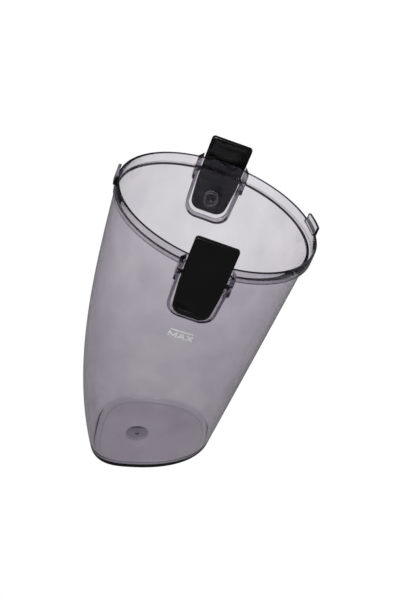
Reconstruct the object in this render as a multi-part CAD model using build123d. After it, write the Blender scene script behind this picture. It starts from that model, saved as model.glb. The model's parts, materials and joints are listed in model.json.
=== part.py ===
from build123d import *
from math import copysign, cos, pi, radians, sin
import os

# Dust bin of a stick vacuum cleaner: a clear moulded cup with a leaning round mouth and two rocker latches.
# It stands on its base at Z = 0, with +X towards the side that the mouth leans to and the latches at +Y and -Y.

# Mouth and collar
MOUTH_RADIUS = 75.0
MOUTH_LEAN = 19.5
MOUTH_HEIGHT = 198.3
MOUTH_SHIFT = 51.2
COLLAR_DEPTH = 9.5
COLLAR_WALL = 1.8
LEDGE_DEPTH = 7.0

# Body under the collar: its steps back from the collar, its base and the bow of its walls
FRONT_STEP = 0.6
BACK_STEP = 2.8
SIDE_STEP = 2.2
BODY_TOP_DEPTH = 6.0
BASE_LENGTH = 88.8
BASE_WIDTH = 89.4
BASE_WIDEST = 34.3
FRONT_BOW = 11.5
FRONT_BOW_SKEW = 0.35
SIDE_BOW = 3.7
FRONT_SQUARENESS = 2.9
BACK_SQUARENESS = 2.3
BODY_WALL = 2.2
FLOOR_THICKNESS = 3.0
BASE_ROUND = 4.5
FLOOR_ROUND = 6.5

# Gate dimple in the floor
GATE_OFFSET = -10.3
GATE_RADIUS = 8.4
GATE_RISE = 1.6
GATE_NUB_RADIUS = 1.6
GATE_NUB_HEIGHT = 0.9

# Tabs on the rim: one at the front, one turned a little to the right of the back
TAB_WIDTH = 19.0
TAB_RISE = 4.0
TAB_DROP = 3.5
TAB_THICKNESS = 2.0
BACK_TAB_TURN = 20.5
FRONT_TAB_TURN = 180.0

# Latch plate, measured in the mouth's own frame: Y outwards, Z above the rim
LATCH_TOP = 17.4
LATCH_KNEE = -20.0
LATCH_BOTTOM = -44.2
LATCH_TOP_WIDTH = 31.8
LATCH_KNEE_WIDTH = 31.0
LATCH_BOTTOM_WIDTH = 26.0
LATCH_THICKNESS = 3.2
LATCH_CREASE = -13.0
LATCH_SLOPE = 0.7
LATCH_TOP_CORNER = 2.5
LATCH_BOTTOM_CORNER = 8.0
LATCH_EDGE_ROUND = 1.4
LATCH_COLLAR_GAP = 0.6

# Hook, pivot stubs and thumb ridge on the latch
HOOK_HEIGHT = 11.0
HOOK_REACH = 2.0
HOOK_RISE = 4.0
HOOK_WIDTH = 20.0
PIVOT_DROP = 12.0
PIVOT_RADIUS = 1.6
PIVOT_CLEARANCE = 0.05
RIDGE_HEIGHT = 0.5
RIDGE_WIDTH = 17.0
RIDGE_LIFT = 4.0
RIDGE_THICKNESS = 1.2

# Guard wall round the latch's lower end, with a pointed ear on each side for the pivot
GUARD_TOP_WIDTH = 38.5
GUARD_BOTTOM_WIDTH = 34.0
GUARD_GAP = 2.3
GUARD_WALL = 2.0
GUARD_CORNER = 11.0
GUARD_BOTTOM_SETBACK = 1.0
EAR_GAP = 0.7
EAR_THICKNESS = 3.4
EAR_POINT = 4.0
EAR_MARGIN = 1.2
EAR_DEPTH = 18.0

# Spring between the body and the latch
SPRING_DROP = 31.0
SPRING_RADIUS = 5.0
SPRING_WIRE = 0.8
SPRING_WIRE_SIDES = 6
SPRING_TURNS = 3.0
SPRING_GAP = 0.1
SEAT_CLEARANCE = 0.4
SEAT_WALL = 1.0
SEAT_SETBACK = 4.0
SEAT_DEPTH = 1.0
LATCH_CUP_DEPTH = 1.2

# Places worked out from the sizes above
lean = radians(MOUTH_LEAN)
mouth = Plane(
    origin=(MOUTH_SHIFT, 0, MOUTH_HEIGHT),
    x_dir=(cos(lean), 0, -sin(lean)),
    z_dir=(sin(lean), 0, cos(lean)),
)
bore_radius = MOUTH_RADIUS - COLLAR_WALL
latch_inner = MOUTH_RADIUS + LATCH_COLLAR_GAP
latch_outer = latch_inner + LATCH_THICKNESS
pivot_reach = latch_inner + LATCH_THICKNESS / 2
ear_reach = pivot_reach + PIVOT_RADIUS + PIVOT_CLEARANCE + EAR_MARGIN
ear_inner = LATCH_TOP_WIDTH / 2 + EAR_GAP
ear_outer = ear_inner + EAR_THICKNESS
guard_root = MOUTH_RADIUS / 2
guard_bottom = LATCH_BOTTOM - GUARD_GAP - GUARD_WALL
seat_floor = MOUTH_RADIUS - SEAT_SETBACK
seat_radius = SPRING_RADIUS + SPRING_WIRE / 2 + SEAT_CLEARANCE
gate_sphere = (GATE_RADIUS**2 + GATE_RISE**2) / (2 * GATE_RISE)

SECTION_POINTS = 16
SECTION_COUNT = 4


def between(start, end, share):
    """Value that lies the given share of the way from start to end."""
    return start + (end - start) * share


def bow(share, skew=0.0):
    """Hump that is 0 at both ends and 1 near the middle, moved towards the end by skew."""
    return 4 * share * (1 - share) * (1 + skew * (2 * share - 1))


def signed_power(value, power):
    return copysign(abs(value) ** power, value)


def body_section(share, inset):
    """Egg-shaped outline, from under the collar (share 0) to the base (share 1), drawn inset from the outside."""
    front_top = mouth.from_local_coords(Vector(FRONT_STEP - MOUTH_RADIUS, 0, -BODY_TOP_DEPTH))
    back_top = mouth.from_local_coords(Vector(MOUTH_RADIUS - BACK_STEP, 0, -BODY_TOP_DEPTH))
    front_base = Vector(-BASE_LENGTH / 2, 0, 0)
    back_base = Vector(BASE_LENGTH / 2, 0, 0)
    front_line = front_base - front_top
    outwards = front_line.cross(Vector(0, 1, 0)).normalized() * -1
    front = between(front_top, front_base, share) + outwards * FRONT_BOW * bow(share, FRONT_BOW_SKEW)
    back = between(back_top, back_base, share)
    chord = back - front
    top_share = (MOUTH_RADIUS - FRONT_STEP) / (2 * MOUTH_RADIUS - FRONT_STEP - BACK_STEP)
    widest = chord.length * between(top_share, BASE_WIDEST / BASE_LENGTH, share)
    half_width = between(MOUTH_RADIUS - SIDE_STEP, BASE_WIDTH / 2, share) + SIDE_BOW * bow(share)
    points = []
    for step in range(SECTION_POINTS):
        turn = 2 * pi * step / SECTION_POINTS
        behind = cos(turn) > 0
        reach = chord.length - widest if behind else widest
        power = 2 / between(2, BACK_SQUARENESS if behind else FRONT_SQUARENESS, share)
        along = widest + (reach - inset) * signed_power(cos(turn), power)
        across = (half_width - inset) * signed_power(sin(turn), power)
        points.append((along, across))
    section_plane = Plane(origin=front, x_dir=chord, z_dir=chord.cross(Vector(0, 1, 0)))
    return Wire([section_plane * Spline(*points, periodic=True)])


def body_form(inset):
    shares = [step / (SECTION_COUNT - 1) for step in range(SECTION_COUNT)]
    return Solid.make_loft([body_section(share, inset) for share in shares])


def in_mouth(shape):
    """Places a shape drawn in the mouth's frame."""
    return mouth * shape


def outward_plane(reach):
    """Plane that faces outwards through the right latch, with its local Y along the mouth's axis."""
    return Plane(origin=(0, reach, 0), x_dir=(-1, 0, 0), z_dir=(0, 1, 0))


def outline(corners, top_corner, bottom_corner):
    """Face with the given right-hand corners, from the top down, mirrored to the left and rounded at its ends."""
    left = [(-across, up) for across, up in reversed(corners)]
    face = make_face(Polyline(*corners, *left, close=True))
    face = fillet(face.vertices().group_by(Axis.Y)[0], bottom_corner)
    if top_corner > 0:
        face = fillet(face.vertices().group_by(Axis.Y)[-1], top_corner)
    return face


def collar():
    profile = Polyline(
        (bore_radius, 0),
        (MOUTH_RADIUS, 0),
        (MOUTH_RADIUS, -COLLAR_DEPTH),
        (bore_radius - COLLAR_DEPTH, -COLLAR_DEPTH),
        (bore_radius - COLLAR_DEPTH, -LEDGE_DEPTH),
        (bore_radius, -LEDGE_DEPTH),
        close=True,
    )
    return in_mouth(revolve(Plane.XZ * make_face(profile), Axis.Z))


def guard_outline(inset):
    top = (GUARD_TOP_WIDTH / 2 - inset, 0)
    bottom = (GUARD_BOTTOM_WIDTH / 2 - inset, guard_bottom + inset)
    return outline([top, bottom], 0, GUARD_CORNER - inset)


def ear(side):
    """Block beside the latch at the guard's top, pointed at its latch side."""
    corners = [
        (side * ear_inner, 0),
        (side * ear_outer, -EAR_POINT),
        (side * ear_outer, -EAR_DEPTH),
        (side * ear_inner, -EAR_DEPTH),
    ]
    return extrude(outward_plane(guard_root) * make_face(Polyline(*corners, close=True)), ear_reach - guard_root)


def guard():
    """U-shaped wall on the body's right side that shields the latch, with pivot ears at its top."""
    depth = ear_reach - guard_root
    wall = extrude(outward_plane(guard_root) * guard_outline(0), depth)
    wall = wall - extrude(outward_plane(guard_root) * guard_outline(GUARD_WALL), depth)
    side_view = Polyline(
        (guard_root, -EAR_POINT),
        (ear_reach, -EAR_POINT),
        (ear_reach, -EAR_DEPTH),
        (MOUTH_RADIUS - GUARD_BOTTOM_SETBACK, guard_bottom),
        (guard_root, guard_bottom),
        close=True,
    )
    trim = extrude(Plane.YZ * make_face(side_view), GUARD_TOP_WIDTH, both=True)
    return in_mouth((wall & trim) + ear(1) + ear(-1))


def spring_seat():
    root = bore_radius - COLLAR_DEPTH
    seat = outward_plane(root) * Pos(0, -SPRING_DROP) * Circle(seat_radius + SEAT_WALL)
    return in_mouth(extrude(seat, seat_floor + SEAT_DEPTH - root))


def spring_socket():
    socket = outward_plane(seat_floor) * Pos(0, -SPRING_DROP) * Circle(seat_radius)
    return in_mouth(extrude(socket, LATCH_THICKNESS))


def pivot_pin(radius, length):
    pin_plane = Plane(origin=(0, pivot_reach, -PIVOT_DROP), x_dir=(0, 1, 0), z_dir=(1, 0, 0))
    return extrude(pin_plane * Circle(radius), length / 2, both=True)


def rim_tab(turn):
    """Upright tab on the outside of the collar, turned about the mouth's axis from the back."""
    ring = Cylinder(MOUTH_RADIUS + TAB_THICKNESS, TAB_RISE + TAB_DROP)
    ring = ring - Cylinder(MOUTH_RADIUS, TAB_RISE + TAB_DROP)
    keep = Pos(MOUTH_RADIUS, 0, 0) * Box(MOUTH_RADIUS, TAB_WIDTH, 2 * MOUTH_RADIUS)
    return in_mouth(Rot(0, 0, turn) * Pos(0, 0, (TAB_RISE - TAB_DROP) / 2) * (ring & keep))


def gate_dome():
    """Low round dome that the gate dimple raises on the floor."""
    ball = Pos(GATE_OFFSET, 0, FLOOR_THICKNESS + GATE_RISE - gate_sphere) * Sphere(gate_sphere)
    return split(ball, bisect_by=Plane.XY.offset(FLOOR_THICKNESS), keep=Keep.TOP)


def mirrored(shape):
    """The same shape on the bin's other side."""
    return mirror(shape, about=Plane.XZ)


def on_both_sides(shape):
    return [shape, mirrored(shape)]


def bin_shell():
    outside = body_form(0)
    outside = fillet(outside.edges().group_by(Axis.Z)[0], BASE_ROUND)
    inside = split(body_form(BODY_WALL), bisect_by=Plane.XY.offset(FLOOR_THICKNESS), keep=Keep.TOP)
    inside = fillet(inside.edges().group_by(Axis.Z)[0], FLOOR_ROUND)
    bore = in_mouth(Pos(0, 0, -LEDGE_DEPTH) * extrude(Circle(bore_radius), 2 * LEDGE_DEPTH))

    shell = outside + collar()
    for piece in on_both_sides(guard()) + on_both_sides(spring_seat()):
        shell = shell + piece
    shell = shell - inside - bore
    shell = shell + rim_tab(BACK_TAB_TURN) + rim_tab(FRONT_TAB_TURN)

    dome = gate_dome()
    nub = Pos(GATE_OFFSET, 0, GATE_RISE - GATE_NUB_HEIGHT)
    nub = nub * extrude(Circle(GATE_NUB_RADIUS), GATE_NUB_HEIGHT + FLOOR_THICKNESS / 2)
    shell = shell + dome - Pos(0, 0, -FLOOR_THICKNESS) * dome + nub

    pin_hole = in_mouth(pivot_pin(PIVOT_RADIUS + PIVOT_CLEARANCE, 2 * GUARD_TOP_WIDTH))
    for piece in on_both_sides(pin_hole) + on_both_sides(spring_socket()):
        shell = shell - piece
    return shell


def latch():
    """Right-hand rocker latch: a plate with a hook above the rim, pivot stubs and a cup for the spring."""
    corners = [
        (LATCH_TOP_WIDTH / 2, LATCH_TOP),
        (LATCH_KNEE_WIDTH / 2, LATCH_KNEE),
        (LATCH_BOTTOM_WIDTH / 2, LATCH_BOTTOM),
    ]
    plate_outline = outline(corners, LATCH_TOP_CORNER, LATCH_BOTTOM_CORNER)
    plate = extrude(outward_plane(latch_inner) * plate_outline, LATCH_THICKNESS)
    plate = fillet(plate.faces().sort_by(Axis.Y)[-1].edges(), LATCH_EDGE_ROUND)
    slope_view = Polyline(
        (latch_outer, LATCH_CREASE),
        (latch_outer - 2 * LATCH_SLOPE, 2 * LATCH_BOTTOM - LATCH_CREASE),
        (latch_outer + LATCH_SLOPE, 2 * LATCH_BOTTOM - LATCH_CREASE),
        close=True,
    )
    plate = plate - extrude(Plane.YZ * make_face(slope_view), LATCH_TOP_WIDTH, both=True)
    hook_view = Polyline(
        (latch_inner, HOOK_HEIGHT),
        (latch_inner - HOOK_REACH, HOOK_HEIGHT),
        (latch_inner, HOOK_HEIGHT + HOOK_RISE),
        close=True,
    )
    hook = extrude(Plane.YZ * make_face(hook_view), HOOK_WIDTH / 2, both=True)
    stub_length = ear_inner + ear_outer
    ridge_bed = latch_outer - LATCH_SLOPE
    ridge = Pos(0, ridge_bed, LATCH_BOTTOM + RIDGE_LIFT) * Box(RIDGE_WIDTH, 2 * RIDGE_HEIGHT, RIDGE_THICKNESS)
    cup = outward_plane(latch_inner) * Pos(0, -SPRING_DROP) * Circle(seat_radius)
    body = plate + hook + ridge + pivot_pin(PIVOT_RADIUS, stub_length)
    return in_mouth(body - extrude(cup, LATCH_CUP_DEPTH))


def latch_spring():
    """Right-hand coil spring, from its seat on the body to the cup in the latch."""
    start = seat_floor + SPRING_GAP + SPRING_WIRE / 2
    end = latch_inner + LATCH_CUP_DEPTH - SPRING_GAP - SPRING_WIRE / 2
    coil = Helix(pitch=(end - start) / SPRING_TURNS, height=end - start, radius=SPRING_RADIUS)
    wire_face = Plane(origin=coil @ 0, z_dir=coil % 0) * RegularPolygon(SPRING_WIRE / 2, SPRING_WIRE_SIDES)
    wire = sweep(wire_face, path=coil)
    return in_mouth(outward_plane(start) * Pos(0, -SPRING_DROP) * wire)


os.makedirs("parts", exist_ok=True)
right_latch = latch()
right_spring = latch_spring()
nodes = {
    "bin_shell": bin_shell(),
    "right_latch": right_latch,
    "left_latch": mirrored(right_latch),
    "right_latch_spring": right_spring,
    "left_latch_spring": mirrored(right_spring),
}
for name, shape in nodes.items():
    export_step(shape, f"parts/{name}.step")
    print(name, round(shape.volume), "mm3")
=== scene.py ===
# %% [markdown]
# # A clear dust bin with two rocker latches
#
# The bin is one smoke-tinted moulding with a black latch on each side. The imported CAD model is the fixed
# frame of this lesson: every piece made here takes its place and its size from it. We load it first.

# %% Load the frame
import json
from math import cos, pi, radians, sin

import bmesh
import bpy
import numpy as np
from mathutils import Matrix, Vector


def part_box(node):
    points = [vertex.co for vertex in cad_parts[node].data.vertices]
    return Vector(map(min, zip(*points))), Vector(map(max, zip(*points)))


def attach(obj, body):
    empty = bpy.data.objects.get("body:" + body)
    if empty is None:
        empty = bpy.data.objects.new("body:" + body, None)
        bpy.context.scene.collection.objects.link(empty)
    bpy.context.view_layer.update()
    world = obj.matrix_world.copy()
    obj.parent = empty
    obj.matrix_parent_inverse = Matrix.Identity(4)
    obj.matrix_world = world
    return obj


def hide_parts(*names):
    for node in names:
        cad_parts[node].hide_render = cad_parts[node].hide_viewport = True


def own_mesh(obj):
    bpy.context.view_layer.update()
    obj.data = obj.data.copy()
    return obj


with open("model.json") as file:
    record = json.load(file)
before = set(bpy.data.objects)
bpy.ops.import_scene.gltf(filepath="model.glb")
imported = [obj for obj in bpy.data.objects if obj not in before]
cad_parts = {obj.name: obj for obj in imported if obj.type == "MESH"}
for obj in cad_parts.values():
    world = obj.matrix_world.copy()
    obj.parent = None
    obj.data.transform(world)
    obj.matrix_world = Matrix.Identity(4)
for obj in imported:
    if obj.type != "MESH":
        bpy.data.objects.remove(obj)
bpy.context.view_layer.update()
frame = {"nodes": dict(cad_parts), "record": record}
nodes = frame["nodes"]

# %% [markdown]
# ## The mouth's own frame
#
# The mouth leans back from the base, and the latches, the guards and the fill mark all follow the mouth and not
# the table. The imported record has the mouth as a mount, with its axis, so the three directions of the mouth's
# frame are worked out from there: `mouth_z` out of the mouth, `mouth_x` towards the back and Y across.

# %% Read the mouth and the latches from the record
MM = 0.001
RIM_ABOVE_MOUNT = 3.5 * MM
mouth_mount = next(m for m in frame["record"]["mounts"] if m["name"] == "mouth")
mouth_z = np.array(mouth_mount["axis"]) / np.linalg.norm(mouth_mount["axis"])
mouth_x = np.cross((0.0, 1.0, 0.0), mouth_z)
rim_centre = np.array(mouth_mount["pos_m"]) + RIM_ABOVE_MOUNT * mouth_z


def from_mouth(x, y, z):
    """Row-frame points for mouth-frame coordinates: the rim's centre plus x, y and z along the mouth's axes."""
    x, y, z = np.broadcast_arrays(x, y, z)
    across = np.array((0.0, 1.0, 0.0))
    return rim_centre + x[..., None] * mouth_x + y[..., None] * across + z[..., None] * mouth_z


# %% [markdown]
# ## Small helpers for meshes and materials
#
# A surface worked out with numpy is a grid of points. One helper turns such a grid into a mesh with four-sided
# faces, and another one gives an object its material and its body, which every piece needs. The node
# helpers take a linked output or a plain number for each socket, so that a short formula stays one line.

# %% Mesh and material helpers
NOISE_MIDDLE = (0.35, 0.65)


def mesh_object(name, points, faces):
    """Object at the origin from an array of points and a list of faces, shaded smooth."""
    mesh = bpy.data.meshes.new(name)
    mesh.from_pydata(np.asarray(points).reshape(-1, 3).tolist(), [], faces)
    mesh.shade_smooth()
    obj = bpy.data.objects.new(name, mesh)
    bpy.context.scene.collection.objects.link(obj)
    return obj


def grid_faces(rows, columns, wrap_columns=True):
    """Four-sided faces of a grid with the given rows, closed round its columns where asked."""
    row, column = np.meshgrid(np.arange(rows - 1), np.arange(columns - (not wrap_columns)), indexing="ij")
    right = (column + 1) % columns
    here, above = row * columns, (row + 1) * columns
    corners = (here + column, here + right, above + right, above + column)
    return np.stack(corners, axis=-1).reshape(-1, 4).tolist()


def new_material(name):
    """Empty node material with its Principled shader and its output."""
    material = bpy.data.materials.new(name)
    material.use_nodes = True
    tree = material.node_tree
    return material, tree, tree.nodes["Principled BSDF"], tree.nodes["Material Output"]


def feed(tree, socket, value):
    """Links an output to a socket, or sets a constant on it."""
    if isinstance(value, bpy.types.NodeSocket):
        tree.links.new(value, socket)
    else:
        socket.default_value = value


def math_node(tree, operation, *values):
    node = tree.nodes.new("ShaderNodeMath")
    node.operation = operation
    for socket, value in zip(node.inputs, values):
        feed(tree, socket, value)
    return node.outputs[0]


def vector_node(tree, operation, *vectors):
    """Vector Math node: its number for a length or a dot product, its vector for the rest."""
    node = tree.nodes.new("ShaderNodeVectorMath")
    node.operation = operation
    for socket, vector in zip(node.inputs, vectors):
        feed(tree, socket, vector)
    return node.outputs["Value" if operation in ("LENGTH", "DOT_PRODUCT") else "Vector"]


def smooth_step(tree, value, start, end, low=0.0, high=1.0):
    """Value carried smoothly from low at start to high at end."""
    step = tree.nodes.new("ShaderNodeMapRange")
    step.interpolation_type = "SMOOTHSTEP"
    for name, number in (("From Min", start), ("From Max", end), ("To Min", low), ("To Max", high)):
        step.inputs[name].default_value = number
    tree.links.new(value, step.inputs["Value"])
    return step.outputs["Result"]


def object_place(tree):
    """Object coordinates, which stay on the piece as it moves."""
    return tree.nodes.new("ShaderNodeTexCoord").outputs["Object"]


def object_noise(tree, scale, detail=2.0):
    noise = tree.nodes.new("ShaderNodeTexNoise")
    noise.inputs["Scale"].default_value = scale
    noise.inputs["Detail"].default_value = detail
    tree.links.new(object_place(tree), noise.inputs["Vector"])
    return noise


def ramp(tree, source, low, high):
    """Colour ramp from low to high over the middle of the noise's range."""
    node = tree.nodes.new("ShaderNodeValToRGB")
    for element, position, colour in zip(node.color_ramp.elements, NOISE_MIDDLE, (low, high)):
        element.position = position
        element.color = (*colour, 1.0)
    tree.links.new(source.outputs["Fac"], node.inputs["Fac"])
    return node


def vary_roughness(tree, shader, source, low, high):
    """Roughness from low to high, led by a noise."""
    rough = tree.nodes.new("ShaderNodeMapRange")
    rough.inputs["To Min"].default_value = low
    rough.inputs["To Max"].default_value = high
    tree.links.new(source.outputs["Fac"], rough.inputs["Value"])
    tree.links.new(rough.outputs["Result"], shader.inputs["Roughness"])


def add_bump(tree, shader, source, strength, distance):
    bump = tree.nodes.new("ShaderNodeBump")
    bump.inputs["Strength"].default_value = strength
    bump.inputs["Distance"].default_value = distance
    tree.links.new(source.outputs["Fac"], bump.inputs["Height"])
    tree.links.new(bump.outputs["Normal"], shader.inputs["Normal"])


def dress(obj, material, body=None):
    """Gives a piece its only material, and where it is new, its body."""
    obj.data.materials.clear()
    obj.data.materials.append(material)
    if body:
        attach(obj, body)
    return obj


# %% [markdown]
# ## Smoke-tinted clear plastic
#
# The bin is moulded in clear plastic with a grey-mauve tint. Tint that sits in the wall, and not on its
# surface, gets darker where the light passes through more of it: along the silhouette, in the rim and in the
# floor's rounding. So the shader is plain clear plastic and the tint is a Volume Absorption inside it. A faint
# noise in the roughness and a very shallow bump give the slight waviness of a moulded wall.
#
# Thin edges of clear plastic look almost black, since they pipe the light away sideways. The bare shader shows
# them too pale, so the rim, the ledge, the collar's lower edge and the floor's outline each get a narrow band of
# painted shade, a darker colour found from the Object coordinates. The inner floor is painted darker and more
# mauve, a painted shade for the bin's shadow under it, and the gate's round cap is painted darker as painted
# shade in its hollow.

# %% Smoke plastic
GATE_PLACE, GATE_RADIUS = -10.3 * MM, 8.4 * MM
GATE_INSIDE, GATE_OUTSIDE = 0.98 * GATE_RADIUS, 1.12 * GATE_RADIUS
COLLAR_MIDDLE = 74.0 * MM
RIM_EDGE, LEDGE_EDGE, COLLAR_EDGE = (0.0, 0.5 * MM), (-7.55 * MM, 0.5 * MM), (-9.1 * MM, 0.3 * MM)
FLOOR_FACE, FLOOR_LINE = (3.0 * MM, 0.1 * MM), (3.2 * MM, 0.1 * MM)
UPWARDS = (0.0, 0.0, 1.0)

# Painted shade: the gate's round cap is painted darker, for the shade in its hollow.
GATE_PAINTED_SHADE = (0.50, 0.49, 0.52)
# Painted shade: the inner floor darker and more mauve, for the bin's shadow under it.
FLOOR_PAINTED_SHADE = (0.86, 0.80, 0.86)
# Painted shade: a dark line along the floor's outline.
FLOOR_LINE_PAINTED_SHADE = (0.60, 0.57, 0.62)
# Painted shade: near-black colour on the rim, the ledge and the collar's lower edge.
EDGE_PAINTED_SHADE = (0.08, 0.075, 0.09)
STREAK_DARK, STREAK_LIGHT, STREAK_SCALE = (0.90, 0.895, 0.92), (1.0, 0.995, 1.0), 34.0
SMOKE_IOR, SMOKE_REFLECTION = 1.46, (0.55, 0.55, 0.58, 1.0)
SMOKE_COLOUR, SMOKE_DENSITY = (0.37, 0.32, 0.40, 1.0), 240.0
SMOKE_ROUGHNESS = (0.0, 0.015)
WAVE_SCALE, WAVE_STRENGTH, WAVE_HEIGHT = 24.0, 0.05, 1.0 * MM


def near_gate(tree):
    """1 inside the gate's circle on the floor and 0 outside it, from the distance |p - gate|: where the gate's
    painted shade goes.
    """
    offset = vector_node(tree, "SUBTRACT", object_place(tree), (GATE_PLACE, 0.0, 0.0))
    return smooth_step(tree, vector_node(tree, "LENGTH", offset), GATE_OUTSIDE, GATE_INSIDE)


def near_level(tree, axis, level, half_band):
    """1 in the thin band |p . axis - level| < half_band of the Object coordinates p."""
    height = vector_node(tree, "DOT_PRODUCT", object_place(tree), axis)
    return math_node(tree, "COMPARE", height, level, half_band)


def off_axis(tree):
    """Distance |(p - c) x z| from the mouth's axis z through the rim's centre c."""
    offset = vector_node(tree, "SUBTRACT", object_place(tree), rim_centre)
    return vector_node(tree, "LENGTH", vector_node(tree, "CROSS_PRODUCT", offset, mouth_z))


def painted_edge_shade_masks(tree):
    """Masks where painted shade darkens the rim, the ledge inside the collar and the edge under the collar outside.
    """
    rim_level = rim_centre @ mouth_z
    rim, ledge, collar = (
        near_level(tree, mouth_z, rim_level + level, half) for level, half in (RIM_EDGE, LEDGE_EDGE, COLLAR_EDGE)
    )
    inside = math_node(tree, "LESS_THAN", off_axis(tree), COLLAR_MIDDLE)
    outside = math_node(tree, "GREATER_THAN", off_axis(tree), COLLAR_MIDDLE)
    return rim, math_node(tree, "MULTIPLY", ledge, inside), math_node(tree, "MULTIPLY", collar, outside)


def with_painted_shade(tree, colour, mask, shade_colour):
    """Mixes a painted shade colour into a colour where the mask is 1."""
    mix = tree.nodes.new("ShaderNodeMix")
    mix.data_type = "RGBA"
    mix.inputs["B"].default_value = (*shade_colour, 1.0)
    tree.links.new(mask, mix.inputs["Factor"])
    tree.links.new(colour, mix.inputs["A"])
    return mix.outputs["Result"]


def smoke_plastic():
    material, tree, shader, output = new_material("smoke_plastic")
    shader.inputs["Transmission Weight"].default_value = 1.0
    shader.inputs["IOR"].default_value = SMOKE_IOR
    shader.inputs["Specular Tint"].default_value = SMOKE_REFLECTION
    waviness = object_noise(tree, WAVE_SCALE, 3.0)
    streaks = ramp(tree, object_noise(tree, STREAK_SCALE, 4.0), STREAK_DARK, STREAK_LIGHT)
    # Painted shade on the inner floor, for the bin's shadow under it.
    colour = with_painted_shade(tree, streaks.outputs["Color"], near_level(tree, UPWARDS, *FLOOR_FACE), FLOOR_PAINTED_SHADE)
    # Painted shade along the floor's outline.
    colour = with_painted_shade(tree, colour, near_level(tree, UPWARDS, *FLOOR_LINE), FLOOR_LINE_PAINTED_SHADE)
    # Painted shade in the gate's hollow.
    colour = with_painted_shade(tree, colour, near_gate(tree), GATE_PAINTED_SHADE)
    # Painted shade on the rim, the ledge and the collar's lower edge.
    for edge in painted_edge_shade_masks(tree):
        colour = with_painted_shade(tree, colour, edge, EDGE_PAINTED_SHADE)
    tree.links.new(colour, shader.inputs["Base Color"])
    vary_roughness(tree, shader, waviness, *SMOKE_ROUGHNESS)
    add_bump(tree, shader, waviness, WAVE_STRENGTH, WAVE_HEIGHT)
    smoke_inside = tree.nodes.new("ShaderNodeVolumeAbsorption")
    smoke_inside.inputs["Color"].default_value = SMOKE_COLOUR
    smoke_inside.inputs["Density"].default_value = SMOKE_DENSITY
    tree.links.new(smoke_inside.outputs["Volume"], output.inputs["Volume"])
    return material


smoke = smoke_plastic()
print("made", smoke.name)

# %% [markdown]
# ## The bin's wall as one surface
#
# Clear plastic shows every facet, so the wall isn't taken from the CAD triangles. It is worked out again from
# the same rule: egg-shaped sections that run from the collar down to the base. `share` is 0 under the collar and
# 1 at the base, `turn` goes round the section from the back, and `inset` moves the section inwards by the wall.

# %% Sizes and the section rule
RIM_RADIUS = 75.0 * MM
BORE_RADIUS = 73.2 * MM
COLLAR_DEPTH = 9.5 * MM
LEDGE_DEPTH = 7.0 * MM
BODY_TOP_DEPTH = 6.0 * MM
FRONT_STEP, BACK_STEP, SIDE_STEP = 0.6 * MM, 2.8 * MM, 2.2 * MM
BASE_LENGTH, BASE_WIDTH, BASE_WIDEST = 88.8 * MM, 89.4 * MM, 34.3 * MM
FRONT_BOW, FRONT_BOW_SKEW, SIDE_BOW = 11.5 * MM, 0.35, 3.7 * MM
FRONT_SQUARENESS, BACK_SQUARENESS = 2.9, 2.3
BODY_WALL = 2.2 * MM
FLOOR_THICKNESS = 3.0 * MM
BASE_ROUND = 5.2 * MM
FLOOR_ROUND = 6.5 * MM
GATE_RISE = 1.6 * MM
NUB_RADIUS, NUB_HEIGHT = 1.6 * MM, 0.9 * MM
COLUMNS = 384
HALVINGS = 40

turn = np.linspace(0, 2 * pi, COLUMNS, endpoint=False)
front_top = from_mouth(FRONT_STEP - RIM_RADIUS, 0.0, -BODY_TOP_DEPTH)
back_top = from_mouth(RIM_RADIUS - BACK_STEP, 0.0, -BODY_TOP_DEPTH)
front_base = np.array((-BASE_LENGTH / 2, 0.0, 0.0))
back_base = np.array((BASE_LENGTH / 2, 0.0, 0.0))


def unit(vectors):
    return vectors / np.linalg.norm(vectors, axis=-1, keepdims=True)


def hump(share, skew=0.0):
    """4 s (1 - s) (1 + k (2 s - 1)), which is 0 at both ends."""
    return 4 * share * (1 - share) * (1 + skew * (2 * share - 1))


def wall(share, inset=0.0):
    """Section ring at a share that may differ for each turn.

    The chord runs from the bowed front line to the straight back line. With w for the widest place on it, r for
    the reach on either side, h for half the width and n for the squareness, a point lies at
    along = w + (r - inset) sgn(cos t) |cos t|^(2/n) and y = (h - inset) sgn(sin t) |sin t|^(2/n).
    """
    share = np.broadcast_to(np.asarray(share, dtype=float), turn.shape)
    s = share[:, None]
    outwards = unit(np.cross((0.0, 1.0, 0.0), front_base - front_top))
    front = front_top + (front_base - front_top) * s + outwards * FRONT_BOW * hump(s, FRONT_BOW_SKEW)
    back = back_top + (back_base - back_top) * s
    length = np.linalg.norm(back - front, axis=1)
    top_widest = (RIM_RADIUS - FRONT_STEP) / (2 * RIM_RADIUS - FRONT_STEP - BACK_STEP)
    widest = length * (top_widest + (BASE_WIDEST / BASE_LENGTH - top_widest) * share)
    half = (RIM_RADIUS - SIDE_STEP) * (1 - share) + BASE_WIDTH / 2 * share + SIDE_BOW * hump(share)
    behind = np.cos(turn) > 0
    power = 2 / (2 + (np.where(behind, BACK_SQUARENESS, FRONT_SQUARENESS) - 2) * share)
    reach = np.where(behind, length - widest, widest)
    along = widest + (reach - inset) * np.sign(np.cos(turn)) * np.abs(np.cos(turn)) ** power
    y = (half - inset) * np.sign(np.sin(turn)) * np.abs(np.sin(turn)) ** power
    return front + along[:, None] * unit(back - front) + y[:, None] * np.array((0.0, 1.0, 0.0))


def share_at(level, height, inset):
    """Share for each turn at which the wall has the asked height: halving finds it, since height falls with share."""
    low, high = np.zeros(COLUMNS), np.ones(COLUMNS)
    for _ in range(HALVINGS):
        middle = (low + high) / 2
        above = height(wall(middle, inset)) > level
        low, high = np.where(above, middle, low), np.where(above, high, middle)
    return middle


def over_table(points):
    return points[:, 2]


def over_rim(points):
    return (points - rim_centre) @ mouth_z


print("base ring:", np.ptp(wall(1.0), axis=0).round(4), "ring under the collar:", np.ptp(wall(0.0), axis=0).round(4))


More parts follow.
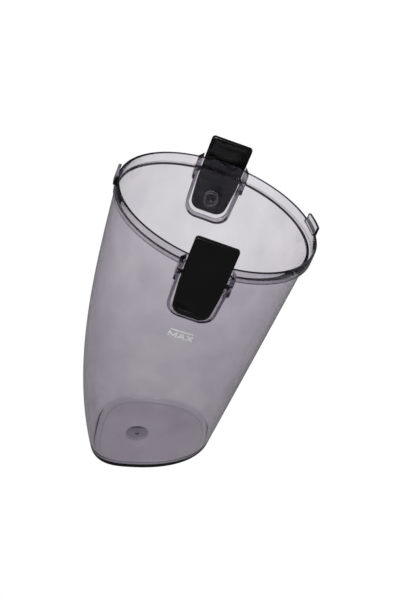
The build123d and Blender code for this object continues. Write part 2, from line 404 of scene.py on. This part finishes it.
# %% [markdown]
# ## Rounded corners and the whole profile
#
# The shell's surface is a list of rings. It starts in the middle of the underside, runs out to the base's
# rounding, up the outside, over the collar's rim, down the bore to the ledge, down the inside and in along the
# floor. A corner between two runs is a short conic whose tangents meet in the corner ring. At the base its legs
# follow from the rounding's radius and the angle there; the moulding's other corners get a small, even rounding.

# %% Rings of the shell
EDGE_ROUND = 0.3 * MM
CORNER_ROWS, CORNER_WEIGHT = 6, 0.72
WALL_ROWS = 48
FLOOR_ROWS = 8
DOME_ROWS = 10
SMALL_SHARE = 0.004


def rounded(start, corner, end, rows=CORNER_ROWS, weight=CORNER_WEIGHT):
    """Conic rings from a to b round the corner c, with the weight w of the corner:

    ((1-v)^2 a + 2 v (1-v) w c + v^2 b) / ((1-v)^2 + 2 v (1-v) w + v^2) for v from 0 to 1.
    """
    v = np.linspace(0, 1, rows)[:, None, None]
    bend = 2 * v * (1 - v) * weight
    return ((1 - v) ** 2 * start + bend * corner + v**2 * end) / ((1 - v) ** 2 + bend + v**2)


def soft_corner(before, corner, after):
    start = corner + EDGE_ROUND * unit(before - corner)
    end = corner + EDGE_ROUND * unit(after - corner)
    return rounded(start, corner, end)


def foot(share, inset, radius):
    """Rounding between the flat floor and the wall at a share: its rings, floor first, and its last share.

    The legs are d = R / tan(a/2) for the angle a between the floor's inward normal and the way up the wall.
    """
    corner = wall(share, inset)
    along = unit(np.roll(corner, -1, axis=0) - np.roll(corner, 1, axis=0))
    inward = unit(np.cross((0.0, 0.0, 1.0), along))
    climb = wall(share - SMALL_SHARE, inset) - corner
    upward = unit(climb - (climb * along).sum(axis=1, keepdims=True) * along)
    cosine = (inward * upward).sum(axis=1)
    leg = radius * np.sqrt((1 + cosine) / (1 - cosine))
    end_share = share - SMALL_SHARE * leg / np.linalg.norm(climb, axis=1)
    edge = corner + leg[:, None] * inward
    return rounded(edge, corner, wall(end_share, inset), 2 * CORNER_ROWS), end_share


def wall_rows(first_share, last_share, inset):
    steps = np.linspace(0, 1, WALL_ROWS)
    return np.stack([wall(first_share + (last_share - first_share) * v, inset) for v in steps])


def gate_ring(radius, height, angle):
    x = GATE_PLACE + radius * np.cos(angle)
    return np.stack((x, radius * np.sin(angle), np.full_like(angle, height)), axis=-1)


def gate_height(radius):
    """Rise of the gate's round cap over the floor: sqrt(R^2 - r^2) - (R - rise), with R from the cap's rim."""
    ball = (GATE_RADIUS**2 + GATE_RISE**2) / (2 * GATE_RISE)
    return np.sqrt(ball**2 - radius**2) - (ball - GATE_RISE)


def collar_ring(radius, height, angle):
    return from_mouth(radius * np.cos(angle), radius * np.sin(angle), height)


def floor_run(edge, level):
    """Rings from the floor's edge in to the gate, and the angle of each column seen from the gate."""
    angle = np.arctan2(edge[:, 1], edge[:, 0] - GATE_PLACE)
    v = np.linspace(0, 1, FLOOR_ROWS)[1:, None, None]
    return (1 - v) * edge + v * gate_ring(GATE_RADIUS, level, angle), angle


outer_foot, outer_low = foot(np.ones(COLUMNS), 0.0, BASE_ROUND)
inner_foot, inner_low = foot(share_at(FLOOR_THICKNESS, over_table, BODY_WALL), BODY_WALL, FLOOR_ROUND)
under_collar = share_at(-COLLAR_DEPTH, over_rim, 0.0)
under_ledge = share_at(-LEDGE_DEPTH, over_rim, BODY_WALL)
outside = wall_rows(outer_low, under_collar + SMALL_SHARE, 0.0)
inside = wall_rows(under_ledge + SMALL_SHARE, inner_low, BODY_WALL)

collar_root = wall(under_collar, 0.0)
ledge_end = wall(under_ledge, BODY_WALL)
around = np.arctan2(collar_root[:, 1], (collar_root - rim_centre) @ mouth_x)
collar_corners = [
    outside[-1],
    collar_root,
    collar_ring(RIM_RADIUS, -COLLAR_DEPTH, around),
    collar_ring(RIM_RADIUS, 0.0, around),
    collar_ring(BORE_RADIUS, 0.0, around),
    collar_ring(BORE_RADIUS, -LEDGE_DEPTH, around),
    ledge_end,
    inside[0],
]
collar_rows = [soft_corner(*collar_corners[i - 1:i + 2]) for i in range(1, len(collar_corners) - 1)]

under_run, under_angle = floor_run(outer_foot[0], 0.0)
inner_run, inner_angle = floor_run(inner_foot[0], FLOOR_THICKNESS)
dome_radii = np.linspace(GATE_RADIUS, NUB_RADIUS, DOME_ROWS)[1:]
hollow = [gate_ring(r, gate_height(r), under_angle) for r in dome_radii]
nub = [gate_ring(r, GATE_RISE - NUB_HEIGHT, under_angle) for r in (NUB_RADIUS, NUB_RADIUS / 2)]
dome = [gate_ring(r, FLOOR_THICKNESS + gate_height(r), inner_angle) for r in dome_radii]
rings = np.concatenate([
    nub[::-1],
    hollow[::-1],
    under_run[::-1],
    outer_foot,
    outside[1:],
    *collar_rows,
    inside[:-1],
    inner_foot[::-1],
    inner_run,
    dome,
])
pole_heights = (GATE_RISE - NUB_HEIGHT, FLOOR_THICKNESS + GATE_RISE)
poles = np.array([(GATE_PLACE, 0.0, height) for height in pole_heights])


def closed_surface(name, rings, poles):
    """Closed mesh from a stack of rings with a pole before the first ring and one after the last."""
    rows, columns = rings.shape[:2]
    here = np.arange(columns)
    ahead = (here + 1) % columns
    last = (rows - 1) * columns
    first_pole = np.stack((np.full(columns, rows * columns), ahead, here), axis=-1)
    last_pole = np.stack((last + here, last + ahead, np.full(columns, rows * columns + 1)), axis=-1)
    faces = grid_faces(rows, columns) + first_pole.tolist() + last_pole.tolist()
    return mesh_object(name, np.concatenate((rings.reshape(-1, 3), poles)), faces)


cup = closed_surface("cup", rings, poles)
print("cup:", rings.shape, "rings by columns")

# %% [markdown]
# ## Guards, spring seats and tabs
#
# On each side a U-shaped guard with two pointed ears stands round the latch, and a ring inside it seats the
# spring. A tab stands on the rim at the front and another one near the back. Each is a small closed solid that
# is sunk a little into the wall. To know where the wall is, points are dropped on it along Y: the triangles are
# looked up all at once with barycentric weights, with no loop over the points.

# %% Points dropped on the wall
RIGHT_HALF = 20.0 * MM
LEAST_AREA = 1e-12
WEIGHT_SLACK = 1e-6


def cross_2d(a, b):
    return a[..., 0] * b[..., 1] - a[..., 1] * b[..., 0]


def wall_y(mesh, x, z):
    """Distance of the outer wall from the X-Z plane at each (x, z).

    In the triangle of the +Y half that holds the point, y = wa ya + wb yb + wc yc with barycentric weights.
    """
    mesh.calc_loop_triangles()
    co = np.empty(len(mesh.vertices) * 3)
    mesh.vertices.foreach_get("co", co)
    corner = np.empty(len(mesh.loop_triangles) * 3, dtype=np.int32)
    mesh.loop_triangles.foreach_get("vertices", corner)
    tri = co.reshape(-1, 3)[corner].reshape(-1, 3, 3)
    flat = tri[:, :, (0, 2)]
    near = tri[:, :, 1].min(axis=1) > RIGHT_HALF
    near &= (flat[:, :, 0].max(axis=1) >= x.min()) & (flat[:, :, 0].min(axis=1) <= x.max())
    near &= (flat[:, :, 1].max(axis=1) >= z.min()) & (flat[:, :, 1].min(axis=1) <= z.max())
    near &= np.abs(cross_2d(flat[:, 1] - flat[:, 0], flat[:, 2] - flat[:, 0])) > LEAST_AREA
    tri, flat = tri[near], flat[near]
    a, b, c = flat[:, 0], flat[:, 1], flat[:, 2]
    p = np.stack((x, z), axis=-1)[:, None, :]
    area = cross_2d(b - a, c - a)
    wa = cross_2d(b - p, c - p) / area
    wb = cross_2d(c - p, a - p) / area
    wc = 1 - wa - wb
    held = np.minimum(np.minimum(wa, wb), wc) > -WEIGHT_SLACK
    y = wa * tri[:, 0, 1] + wb * tri[:, 1, 1] + wc * tri[:, 2, 1]
    return np.where(held, y, -np.inf).max(axis=1)


def close_ends(obj, sides):
    """Fills the open ends of a tube with the given number of sides and turns all faces outwards."""
    work = bmesh.new()
    work.from_mesh(obj.data)
    bmesh.ops.holes_fill(work, edges=work.edges, sides=sides)
    bmesh.ops.recalc_face_normals(work, faces=work.faces)
    work.to_mesh(obj.data)
    work.free()
    return obj


# %% Guards with their ears
SINK = 1.0 * MM
GUARD_TOP_HALF, GUARD_BOTTOM_HALF = 19.25 * MM, 17.0 * MM
GUARD_WALL, GUARD_CORNER, GUARD_BOTTOM = 2.0 * MM, 11.0 * MM, -48.5 * MM
GUARD_BOTTOM_REACH, EAR_REACH = 74.0 * MM, 80.05 * MM
EAR_INNER, EAR_OUTER = 16.6 * MM, 20.0 * MM
EAR_POINT, EAR_DEPTH, EAR_FOOT = 4.0 * MM, 18.0 * MM, 0.6 * MM
SIDE_ROWS, ARC_ROWS = 8, 12


def guard_half(inset):
    """Half the guard's outline in the mouth's X-Z plane, from under the ear round to the bottom's middle."""
    top = np.array((GUARD_TOP_HALF - inset, 0.0))
    corner = np.array((GUARD_BOTTOM_HALF - inset, GUARD_BOTTOM + inset))
    radius = GUARD_CORNER - inset
    down = unit(corner - top)
    leg = radius * np.sqrt((1 + down[0]) / (1 - down[0]))
    start = top + down * (EAR_DEPTH + EAR_FOOT) / -down[1]
    bend_start = corner - leg * down
    centre = corner + np.array((-leg, radius))
    first = np.arctan2(*(bend_start - centre)[::-1])
    angle = np.linspace(first, -pi / 2, ARC_ROWS)[:, None]
    side = start + (bend_start - start) * np.linspace(0, 1, SIDE_ROWS)[:-1, None]
    arc = centre + radius * np.concatenate((np.cos(angle), np.sin(angle)), axis=1)
    return np.concatenate((side, arc, [(0.0, GUARD_BOTTOM + inset)]))


def guard(name, sign):
    """Four corners carried along the U: the outer and the inner line, each at its sunk root and at its reach."""
    outer = np.concatenate(([(EAR_OUTER, -EAR_POINT), (EAR_OUTER, -EAR_DEPTH)], guard_half(0.0)))
    inner = np.concatenate(([(EAR_INNER, 0.0), (EAR_INNER, -EAR_DEPTH)], guard_half(GUARD_WALL)))
    outer, inner = (np.concatenate((line, line[-2::-1] * (-1, 1))) for line in (outer, inner))
    x = np.stack((outer[:, 0], outer[:, 0], inner[:, 0], inner[:, 0]), axis=1)
    z = np.stack((outer[:, 1], outer[:, 1], inner[:, 1], inner[:, 1]), axis=1)
    reach = np.interp(-z, (EAR_DEPTH, -GUARD_BOTTOM), (EAR_REACH, GUARD_BOTTOM_REACH))
    on_wall = from_mouth(x.ravel(), 0.0, np.minimum(z, -SINK).ravel())
    root = wall_y(cup.data, on_wall[:, 0], on_wall[:, 2]).reshape(x.shape) - SINK
    y = np.where([True, False, False, True], root, reach)
    return close_ends(mesh_object(name, from_mouth(x, sign * y, z), grid_faces(len(x), 4)), 4)


# %% Spring seats, tabs and pivot holes
SEAT_DROP, SEAT_RADIUS, SEAT_WALL = 31.0 * MM, 5.8 * MM, 1.0 * MM
SEAT_ROOT, SEAT_FLOOR, SEAT_TOP = 69.9 * MM, 71.0 * MM, 72.0 * MM
TAB_HALF, TAB_RISE, TAB_DROP, TAB_THICKNESS = 9.5 * MM, 4.0 * MM, 3.5 * MM, 2.0 * MM
TAB_TURNS = {"back_tab": 20.5, "front_tab": 180.0}
TAB_ROWS, SEAT_SIDES, HOLE_SIDES = 24, 64, 32
PIN_HOLE_RADIUS, PIN_DROP, PIN_REACH, PIN_HALF = 1.65 * MM, 12.0 * MM, 77.2 * MM, 22.0 * MM


def spring_seat(name, sign):
    """Ring round an axis along Y, turned from its profile of radius and reach."""
    profile = np.array((
        (SEAT_RADIUS + SEAT_WALL, SEAT_ROOT),
        (SEAT_RADIUS + SEAT_WALL, SEAT_TOP),
        (SEAT_RADIUS, SEAT_TOP),
        (SEAT_RADIUS, SEAT_FLOOR),
    ))
    angle = np.linspace(0, 2 * pi, SEAT_SIDES, endpoint=False)
    radius, reach = profile[:, :1], profile[:, 1:]
    rings = from_mouth(radius * np.cos(angle), sign * reach, radius * np.sin(angle) - SEAT_DROP)
    ends = from_mouth(0.0, sign * np.array((SEAT_ROOT, SEAT_FLOOR)), -SEAT_DROP)
    return close_ends(closed_surface(name, rings, ends), 0)


def rim_tab(name, degrees):
    """Bent plate on the collar: across the plate, a radius r of the profile gives along = sqrt(r^2 - across^2)."""
    radius = np.array((-SINK, TAB_THICKNESS, TAB_THICKNESS, 0.0, 0.0, -SINK)) + RIM_RADIUS
    height = np.array((-TAB_DROP, -TAB_DROP, TAB_RISE, TAB_RISE, 0.0, -SINK))
    across = np.linspace(-TAB_HALF, TAB_HALF, TAB_ROWS)[:, None]
    along = np.sqrt(radius**2 - across**2)
    a = radians(degrees)
    points = from_mouth(along * cos(a) - across * sin(a), along * sin(a) + across * cos(a), height)
    return close_ends(mesh_object(name, points, grid_faces(TAB_ROWS, len(radius))), len(radius))


def pin_hole(name, sign):
    """Round bar along the mouth's X axis, as long as both ears and the latch between them."""
    angle = np.linspace(0, 2 * pi, HOLE_SIDES, endpoint=False)
    x = np.array((-PIN_HALF, PIN_HALF))
    y = sign * PIN_REACH + PIN_HOLE_RADIUS * np.cos(angle)
    z = PIN_HOLE_RADIUS * np.sin(angle) - PIN_DROP
    rings = from_mouth(x[:, None], y, z)
    return close_ends(closed_surface(name, rings, from_mouth(x, sign * PIN_REACH, -PIN_DROP)), 0)


# %% [markdown]
# ## One piece of plastic
#
# An exact Boolean joins the cup with what stands on it and cuts the pivot holes, so that light meets no face
# inside the plastic. Only real corners stay sharp in the shading.

# %% Join the shell
CORNER_ANGLE = radians(32)


def combine(target, operation, pieces):
    """Adds a Boolean with all the given pieces at once."""
    group = bpy.data.collections.new(operation.lower())
    for piece in pieces:
        group.objects.link(piece)
    modifier = target.modifiers.new(operation.lower(), "BOOLEAN")
    modifier.operation = operation
    modifier.operand_type = "COLLECTION"
    modifier.collection = group
    modifier.solver = "EXACT"


sides = {"right": 1.0, "left": -1.0}
added = [guard(f"{side}_guard", sign) for side, sign in sides.items()]
added += [spring_seat(f"{side}_seat", sign) for side, sign in sides.items()]
added += [rim_tab(name, degrees) for name, degrees in TAB_TURNS.items()]
holes = [pin_hole(f"{side}_pin_hole", sign) for side, sign in sides.items()]
combine(cup, "UNION", added)
combine(cup, "DIFFERENCE", holes)
bpy.context.view_layer.update()
joined = bpy.data.meshes.new_from_object(cup.evaluated_get(bpy.context.evaluated_depsgraph_get()))
for piece in [cup, *added, *holes]:
    bpy.data.objects.remove(piece)
joined.name = "clear_bin"
joined.shade_smooth()
joined.set_sharp_from_angle(angle=CORNER_ANGLE)
shell = bpy.data.objects.new("clear_bin", joined)
bpy.context.scene.collection.objects.link(shell)
dress(shell, smoke, "shell")
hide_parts("bin_shell")
print("clear bin:", len(joined.vertices), "points", len(joined.polygons), "faces")

# %% [markdown]
# ## Black satin plastic for the latches
#
# The latches are dyed black right through, with a fine spark-eroded texture that breaks up the reflection. The
# colour hardly varies, so the grain goes into the roughness and into a shallow bump.

# %% Latch plastic
MERGE_DISTANCE = 0.01 * MM
LATCH_DARK, LATCH_LIGHT = (0.0018, 0.0018, 0.002), (0.003, 0.003, 0.0032)
LATCH_ROUGHNESS, LATCH_SPECULAR = (0.18, 0.25), 0.3
CLOUD_SCALE, GRAIN_SCALE = 60.0, 2600.0
GRAIN_STRENGTH, GRAIN_HEIGHT = 0.25, 0.1 * MM


def smooth_copy(node, name):
    """Copy of a CAD node with its doubles merged, smooth apart from its real corners."""
    mesh = nodes[node].data.copy()
    mesh.name = name
    work = bmesh.new()
    work.from_mesh(mesh)
    bmesh.ops.remove_doubles(work, verts=work.verts, dist=MERGE_DISTANCE)
    work.to_mesh(mesh)
    work.free()
    mesh.shade_smooth()
    mesh.set_sharp_from_angle(angle=CORNER_ANGLE)
    obj = bpy.data.objects.new(name, mesh)
    bpy.context.scene.collection.objects.link(obj)
    return obj


def latch_plastic():
    material, tree, shader, _ = new_material("latch_plastic")
    grain = object_noise(tree, GRAIN_SCALE)
    cloud = object_noise(tree, CLOUD_SCALE, 3.0)
    colour = ramp(tree, cloud, LATCH_DARK, LATCH_LIGHT)
    tree.links.new(colour.outputs["Color"], shader.inputs["Base Color"])
    vary_roughness(tree, shader, cloud, *LATCH_ROUGHNESS)
    shader.inputs["Specular IOR Level"].default_value = LATCH_SPECULAR
    add_bump(tree, shader, grain, GRAIN_STRENGTH, GRAIN_HEIGHT)
    return material


black = latch_plastic()
for side in ("left", "right"):
    latch = smooth_copy(f"{side}_latch", f"{side}_rocker")
    dress(latch, black, f"{side}_latch")
    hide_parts(f"{side}_latch")
    print(latch.name, len(latch.data.polygons), "faces")

# %% [markdown]
# ## The coil springs
#
# A compression spring is a round wire carried along a helix, with half a turn laid flat at each end. The path is
# a function of one parameter and the wire a function of two, so the whole spring is one grid of points.

# %% Spring steel and springs
SPRING_WIRE = 0.8 * MM
SPRING_TURNS, FLAT_TURNS = 3, 0.5
STEPS_PER_TURN, WIRE_SIDES = 40, 12
STEEL_DARK, STEEL_LIGHT = (0.30, 0.30, 0.32), (0.46, 0.46, 0.48)
STEEL_ROUGHNESS, STEEL_SCALE = 0.32, 900.0


def spring_steel():
    material, tree, shader, _ = new_material("spring_steel")
    colour = ramp(tree, object_noise(tree, STEEL_SCALE), STEEL_DARK, STEEL_LIGHT)
    tree.links.new(colour.outputs["Color"], shader.inputs["Base Color"])
    shader.inputs["Metallic"].default_value = 1.0
    shader.inputs["Roughness"].default_value = STEEL_ROUGHNESS
    return material


def coil_spring(name, low, high):
    """Tube along a helix round Y that fills the box from low to high.

    With N turns of which F lie flat at each end, the climb at u is (u N - F) / (N - 2 F), kept from 0 to 1.
    """
    middle = (np.array(low) + np.array(high)) / 2
    radius = (high[0] - low[0]) / 2 - SPRING_WIRE / 2
    u = np.linspace(0, 1, SPRING_TURNS * STEPS_PER_TURN + 1)
    sweep = 2 * pi * SPRING_TURNS * u
    climb = np.clip((u * SPRING_TURNS - FLAT_TURNS) / (SPRING_TURNS - 2 * FLAT_TURNS), 0, 1)
    height = low[1] + SPRING_WIRE / 2 + (high[1] - low[1] - SPRING_WIRE) * climb
    v = np.linspace(0, 2 * pi, WIRE_SIDES, endpoint=False)
    reach = radius + SPRING_WIRE / 2 * np.cos(v)[None, :]
    x = middle[0] + reach * np.cos(sweep)[:, None]
    z = middle[2] + reach * np.sin(sweep)[:, None]
    y = height[:, None] + SPRING_WIRE / 2 * np.sin(v)[None, :]
    tube = mesh_object(name, np.stack((x, y, z), axis=-1), grid_faces(len(u), WIRE_SIDES))
    return close_ends(tube, WIRE_SIDES)


steel = spring_steel()
for side in ("left", "right"):
    low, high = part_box(f"{side}_latch_spring")
    spring = coil_spring(f"{side}_coil_spring", low, high)
    dress(spring, steel, "shell")
    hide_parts(f"{side}_latch_spring")
    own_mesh(spring)
    print(spring.name, "from", round(low.y, 4), "to", round(high.y, 4))

# %% [markdown]
# ## The fill mark
#
# A white line with the word MAX under it is printed on the wall below the left latch. Each letter is a few
# straight strokes, and a stroke is a thin strip of ink that is dropped on the wall row by row, so the print
# follows its curve.

# %% Fill mark
MARK_CENTRE, MARK_LINE_Z = 1.4 * MM, -63.4 * MM
MARK_WIDTH = 16.6 * MM
LETTER_HEIGHT, LETTER_DROP, LETTER_GAP = 4.4 * MM, 6.2 * MM, 1.5 * MM
LETTER_WIDTHS = {"M": 5.3 * MM, "A": 4.6 * MM, "X": 4.2 * MM}
STROKE_WIDTH = 1.1 * MM
INK_LIFT, INK_THICKNESS = 0.05 * MM, 0.1 * MM
STROKE_ROWS = 6
INK_DARK, INK_LIGHT = (0.94, 0.94, 0.95), (1.0, 1.0, 1.0)
INK_ROUGHNESS, INK_SCALE = 0.45, 1500.0
LETTERS = {
    "M": [((0, 0), (0, 1)), ((0, 1), (0.5, 0.2)), ((0.5, 0.2), (1, 1)), ((1, 1), (1, 0))],
    "A": [((0, 0), (0.5, 1)), ((0.5, 1), (1, 0)), ((0.22, 0.34), (0.78, 0.34))],
    "X": [((0, 0), (1, 1)), ((0, 1), (1, 0))],
}


def print_white():
    material, tree, shader, _ = new_material("print_white")
    colour = ramp(tree, object_noise(tree, INK_SCALE), INK_DARK, INK_LIGHT)
    tree.links.new(colour.outputs["Color"], shader.inputs["Base Color"])
    shader.inputs["Roughness"].default_value = INK_ROUGHNESS
    return material


def ink_stroke(name, start, end, lift):
    """Strip between two points of the print's plane, with four corners dropped on the left wall at every row."""
    start, end = np.array(start), np.array(end)
    sideways = unit((end - start)[::-1] * (-1, 1)) * STROKE_WIDTH / 2
    middle = start + (end - start) * np.linspace(0, 1, STROKE_ROWS)[:, None]
    flat = middle[:, None, :] + sideways * np.array((-1, 1, 1, -1))[:, None]
    place = from_mouth(flat[..., 0].ravel(), 0.0, flat[..., 1].ravel())
    stand_off = lift + INK_THICKNESS * np.tile((0, 0, 1, 1), STROKE_ROWS)
    place[:, 1] = -wall_y(shell.data, place[:, 0], place[:, 2]) - stand_off
    stroke = close_ends(mesh_object(name, place, grid_faces(STROKE_ROWS, 4)), 4)
    stroke.data.shade_flat()
    return dress(stroke, white, "shell")


white = print_white()
half_mark = np.array((MARK_WIDTH / 2, 0.0))
mark = np.array((MARK_CENTRE, MARK_LINE_Z))
ink_stroke("fill_mark_line", mark - half_mark, mark + half_mark, INK_LIFT)
corner = mark - half_mark - np.array((0.0, LETTER_DROP))
for letter, width in LETTER_WIDTHS.items():
    for number, ends in enumerate(LETTERS[letter]):
        start, end = (corner + np.array(end) * (width, LETTER_HEIGHT) for end in ends)
        ink_stroke(f"fill_mark_{letter}_{number}", start, end, INK_LIFT * (1 + number / 4))
    corner = corner + np.array((width + LETTER_GAP, 0.0))
print("fill mark at", mark)

# %% [markdown]
# ## Floor, light and camera
#
# The bin stands on a white floor, which the camera sees at full white. Most of the picture's tone comes through
# the clear plastic, and there the floor gets darker towards the bin, as it would in the bin's own shade. Around
# it the studio is dim, so the plastic's edges, which bend the view sideways, come out dark. Large soft lamps
# light the latches and the print.

# %% Floor and world
FLOOR_RADIUS, FLOOR_SIDES, FLOOR_DROP = 4.0, 96, 0.2 * MM
FLOOR_GREY, FLOOR_ROUGHNESS = (0.28, 0.28, 0.28, 1.0), 0.9
STUDIO_GREY = (0.14, 0.14, 0.15, 1.0)
SHADE_UNDER_BIN = 0.72
SHADE_START, SHADE_END = 0.05, 0.34


def floor_white():
    """Plain white for the camera; for the view through the plastic, white with a painted shadow that darkens it
    towards the bin.
    """
    material, tree, shader, output = new_material("floor_white")
    shader.inputs["Base Color"].default_value = FLOOR_GREY
    shader.inputs["Roughness"].default_value = FLOOR_ROUGHNESS
    path = tree.nodes.new("ShaderNodeLightPath").outputs
    distance = vector_node(tree, "LENGTH", object_place(tree))
    shade = smooth_step(tree, distance, SHADE_START, SHADE_END, SHADE_UNDER_BIN)
    through = math_node(tree, "MULTIPLY", path["Is Transmission Ray"], shade)
    shine = tree.nodes.new("ShaderNodeEmission")
    tree.links.new(math_node(tree, "ADD", path["Is Camera Ray"], through), shine.inputs["Strength"])
    mix = tree.nodes.new("ShaderNodeMixShader")
    seen = math_node(tree, "MAXIMUM", path["Is Camera Ray"], path["Is Transmission Ray"])
    tree.links.new(seen, mix.inputs["Fac"])
    tree.links.new(shader.outputs["BSDF"], mix.inputs[1])
    tree.links.new(shine.outputs["Emission"], mix.inputs[2])
    tree.links.new(mix.outputs["Shader"], output.inputs["Surface"])
    return material


angle = np.linspace(0, 2 * pi, FLOOR_SIDES, endpoint=False)
x, y = FLOOR_RADIUS * np.cos(angle), FLOOR_RADIUS * np.sin(angle)
disc = np.stack((x, y, np.full_like(angle, -FLOOR_DROP)), axis=-1)
floor = mesh_object("floor", disc, [list(range(FLOOR_SIDES))])
floor.data.materials.append(floor_white())

world = bpy.data.worlds.new("studio")
bpy.context.scene.world = world
world.use_nodes = True
tree = world.node_tree
dim = tree.nodes["Background"]
dim.inputs["Color"].default_value = STUDIO_GREY
seen = tree.nodes.new("ShaderNodeBackground")
mix = tree.nodes.new("ShaderNodeMixShader")
tree.links.new(tree.nodes.new("ShaderNodeLightPath").outputs["Is Camera Ray"], mix.inputs["Fac"])
tree.links.new(dim.outputs["Background"], mix.inputs[1])
tree.links.new(seen.outputs["Background"], mix.inputs[2])
tree.links.new(mix.outputs["Shader"], tree.nodes["World Output"].inputs["Surface"])
print("floor and world made")

# %% Lamps and camera
LENS = 99.22
CAMERA_PLACE = Vector((0.12112, -1.03153, 0.75114))
CAMERA_FORWARD = Vector((-0.0681, 0.8521, -0.5189))
AIM = Vector((0.05, 0.0, 0.12))
LAMPS = {
    "front_softbox": ((0.0, -1.5, 1.7), (1.2, 0.6), 26),
    "left_softbox": ((-1.2, -0.5, 0.9), (0.5, 1.0), 3),
    "right_softbox": ((1.3, -0.3, 0.7), (0.4, 1.0), 3),
}


def aimed(obj, place, forward):
    """Stands an object at place, turned so that its -Z looks along forward and its X stays level."""
    obj.matrix_world = Matrix.Translation(place) @ forward.to_track_quat("-Z", "Y").to_matrix().to_4x4()


def soft_lamp(name, place, size, power):
    """Area lamp of a width, a height and a power in watts, turned to the bin's middle."""
    lamp = bpy.data.lights.new(name, "AREA")
    lamp.shape = "RECTANGLE"
    lamp.size, lamp.size_y = size
    lamp.energy = power
    obj = bpy.data.objects.new(name, lamp)
    bpy.context.scene.collection.objects.link(obj)
    aimed(obj, Vector(place), AIM - Vector(place))


for name, lamp in LAMPS.items():
    soft_lamp(name, *lamp)

camera_data = bpy.data.cameras.new("camera")
camera_data.lens = LENS
camera = bpy.data.objects.new("camera", camera_data)
bpy.context.scene.collection.objects.link(camera)
aimed(camera, CAMERA_PLACE, CAMERA_FORWARD)
bpy.context.scene.camera = camera
bpy.context.scene.view_settings.view_transform = "Standard"
print("camera at", tuple(camera.location))
